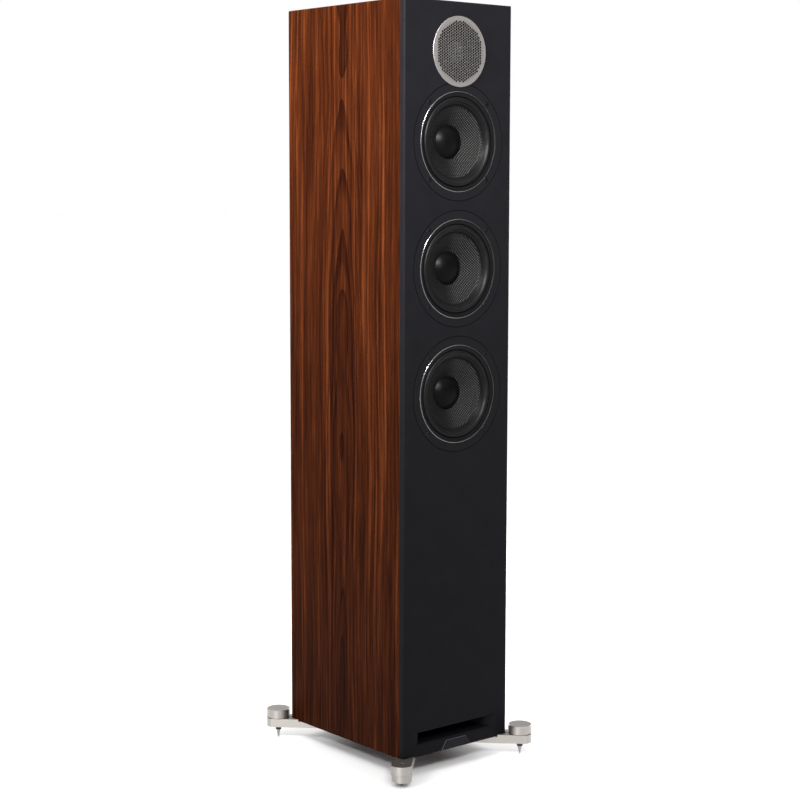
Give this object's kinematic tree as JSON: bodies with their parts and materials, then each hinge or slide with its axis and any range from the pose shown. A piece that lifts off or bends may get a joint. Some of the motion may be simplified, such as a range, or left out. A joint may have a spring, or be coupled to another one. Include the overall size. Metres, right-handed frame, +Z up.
{
  "type": "floorstanding loudspeaker",
  "caption": "Slim floorstanding loudspeaker: walnut cabinet, black baffle with woven cones and a metal-grilled tweeter, slot port, corner feet on levelling spikes.",
  "frame": {"origin": "on the floor, under the middle of the cabinet", "axes": "+Z up; the drivers face -Y; +X is to the right of someone who faces the front"},
  "size_m": [0.2386, 0.2986, 0.991],
  "materials": {
    "walnut": "matt oiled walnut veneer on fibreboard",
    "black_lacquer": "satin black lacquer on fibreboard",
    "fibreboard": "bare fibreboard",
    "duct_plastic": "matt moulded plastic",
    "badge": "satin black",
    "basket_black": "black powder coat",
    "trim_metal": "black with a polished bevel",
    "surround_rubber": "matt rubber",
    "woven_cone": "coated twill weave",
    "cap_black": "satin black",
    "copper": "enamelled copper",
    "spider_cloth": "impregnated cotton",
    "motor_steel": "dark phosphated steel and ferrite",
    "silver_plate": "satin anodised",
    "tweeter_plastic": "satin black",
    "dome_cloth": "coated silk",
    "black_steel": "black oxide",
    "terminal_plastic": "satin moulded plastic",
    "plated_brass": "gold plated",
    "cap_red": "clear red",
    "cap_dark": "black",
    "board": "laminate",
    "components": "film capacitors, coils and resistors",
    "foot_metal": "satin",
    "spike_steel": "turned steel"
  },
  "bodies": {
    "root": {"side_panel_left": "walnut", "side_panel_right": "walnut", "top_panel": "walnut", "bottom_panel": "walnut", "front_baffle": "black_lacquer", "back_panel": "black_lacquer", "window_brace": "fibreboard", "port_duct": "duct_plastic", "badge_plate": "badge", "midrange_basket": "basket_black", "midrange_trim_ring": "trim_metal", "midrange_surround": "surround_rubber", "midrange_spider": "spider_cloth", "midrange_motor": "motor_steel", "upper_woofer_basket": "basket_black", "upper_woofer_trim_ring": "trim_metal", "upper_woofer_surround": "surround_rubber", "upper_woofer_spider": "spider_cloth", "upper_woofer_motor": "motor_steel", "lower_woofer_basket": "basket_black", "lower_woofer_trim_ring": "trim_metal", "lower_woofer_surround": "surround_rubber", "lower_woofer_spider": "spider_cloth", "lower_woofer_motor": "motor_steel", "tweeter_grille": "silver_plate", "tweeter_chassis": "tweeter_plastic", "tweeter_motor": "motor_steel", "cap_screws": "black_steel", "lock_nuts": "black_steel", "terminal_plate": "terminal_plastic", "terminal_posts": "plated_brass", "crossover_board": "board", "crossover_components": "components", "foot_arm_front_left": "foot_metal", "foot_arm_front_right": "foot_metal", "foot_arm_rear_right": "foot_metal", "foot_arm_rear_left": "foot_metal"},
    "midrange_diaphragm": {"midrange_cone": "woven_cone", "midrange_dust_cap": "cap_black", "midrange_voice_coil": "copper"},
    "upper_woofer_diaphragm": {"upper_woofer_cone": "woven_cone", "upper_woofer_dust_cap": "cap_black", "upper_woofer_voice_coil": "copper"},
    "lower_woofer_diaphragm": {"lower_woofer_cone": "woven_cone", "lower_woofer_dust_cap": "cap_black", "lower_woofer_voice_coil": "copper"},
    "tweeter_diaphragm": {"tweeter_dome": "dome_cloth", "tweeter_coil": "copper"},
    "spike_front_left": {"levelling_spike_front_left": "spike_steel"},
    "knob_front_left": {"levelling_knob_front_left": "foot_metal"},
    "spike_front_right": {"levelling_spike_front_right": "spike_steel"},
    "knob_front_right": {"levelling_knob_front_right": "foot_metal"},
    "spike_rear_right": {"levelling_spike_rear_right": "spike_steel"},
    "knob_rear_right": {"levelling_knob_rear_right": "foot_metal"},
    "spike_rear_left": {"levelling_spike_rear_left": "spike_steel"},
    "knob_rear_left": {"levelling_knob_rear_left": "foot_metal"},
    "washer_red": {"terminal_washer_red": "plated_brass"},
    "cap_red": {"terminal_cap_red": "cap_red"},
    "washer_black": {"terminal_washer_black": "plated_brass"},
    "cap_black": {"terminal_cap_black": "cap_dark"}
  },
  "joints": [
    {"name": "midrange_excursion", "type": "slide", "parent": "root", "child": "midrange_diaphragm", "axis": [0, -1, 0], "range_m": [-0.004, 0.004], "stiffness_N_per_m": 900, "deforming": ["midrange_surround", "midrange_spider"]},
    {"name": "upper_woofer_excursion", "type": "slide", "parent": "root", "child": "upper_woofer_diaphragm", "axis": [0, -1, 0], "range_m": [-0.004, 0.004], "stiffness_N_per_m": 900, "deforming": ["upper_woofer_surround", "upper_woofer_spider"]},
    {"name": "lower_woofer_excursion", "type": "slide", "parent": "root", "child": "lower_woofer_diaphragm", "axis": [0, -1, 0], "range_m": [-0.004, 0.004], "stiffness_N_per_m": 900, "deforming": ["lower_woofer_surround", "lower_woofer_spider"]},
    {"name": "tweeter_excursion", "type": "slide", "parent": "root", "child": "tweeter_diaphragm", "axis": [0, -1, 0], "range_m": [-0.0004, 0.0004], "stiffness_N_per_m": 2000},
    {"name": "level_front_left", "type": "slide", "parent": "root", "child": "spike_front_left", "axis": [0, 0, 1], "range_m": [-0.004, 0]},
    {"name": "turn_front_left", "type": "hinge", "parent": "spike_front_left", "child": "knob_front_left", "pos_m": [-0.1035, -0.1335, 0.02], "axis": [0, 0, 1], "range_deg": [-1440, 0]},
    {"name": "level_front_right", "type": "slide", "parent": "root", "child": "spike_front_right", "axis": [0, 0, 1], "range_m": [0, 0.004]},
    {"name": "turn_front_right", "type": "hinge", "parent": "spike_front_right", "child": "knob_front_right", "pos_m": [0.1035, -0.1335, 0.02], "axis": [0, 0, 1], "range_deg": [0, 1440]},
    {"name": "level_rear_right", "type": "slide", "parent": "root", "child": "spike_rear_right", "axis": [0, 0, 1], "range_m": [0, 0.004]},
    {"name": "turn_rear_right", "type": "hinge", "parent": "spike_rear_right", "child": "knob_rear_right", "pos_m": [0.1035, 0.1335, 0.02], "axis": [0, 0, 1], "range_deg": [0, 1440]},
    {"name": "level_rear_left", "type": "slide", "parent": "root", "child": "spike_rear_left", "axis": [0, 0, 1], "range_m": [0, 0.004]},
    {"name": "turn_rear_left", "type": "hinge", "parent": "spike_rear_left", "child": "knob_rear_left", "pos_m": [-0.1035, 0.1335, 0.02], "axis": [0, 0, 1], "range_deg": [0, 1440]},
    {"name": "clamp_red", "type": "slide", "parent": "root", "child": "washer_red", "axis": [0, 1, 0], "range_m": [0, 0.0032]},
    {"name": "unscrew_red", "type": "hinge", "parent": "washer_red", "child": "cap_red", "pos_m": [0.019, 0.135, 0.176], "axis": [0, 1, 0], "range_deg": [0, 1440]},
    {"name": "clamp_black", "type": "slide", "parent": "root", "child": "washer_black", "axis": [0, 1, 0], "range_m": [0, 0.0032]},
    {"name": "unscrew_black", "type": "hinge", "parent": "washer_black", "child": "cap_black", "pos_m": [-0.019, 0.135, 0.176], "axis": [0, 1, 0], "range_deg": [0, 1440]}
  ],
  "couplings": [
    {"joint": "turn_front_left", "follows": "level_front_left", "rad_per_m": 6283.1},
    {"joint": "turn_front_right", "follows": "level_front_right", "rad_per_m": 6283.1},
    {"joint": "turn_rear_right", "follows": "level_rear_right", "rad_per_m": 6283.1},
    {"joint": "turn_rear_left", "follows": "level_rear_left", "rad_per_m": 6283.1},
    {"joint": "unscrew_red", "follows": "clamp_red", "rad_per_m": 7853.9},
    {"joint": "unscrew_black", "follows": "clamp_black", "rad_per_m": 7853.9}
  ]
}
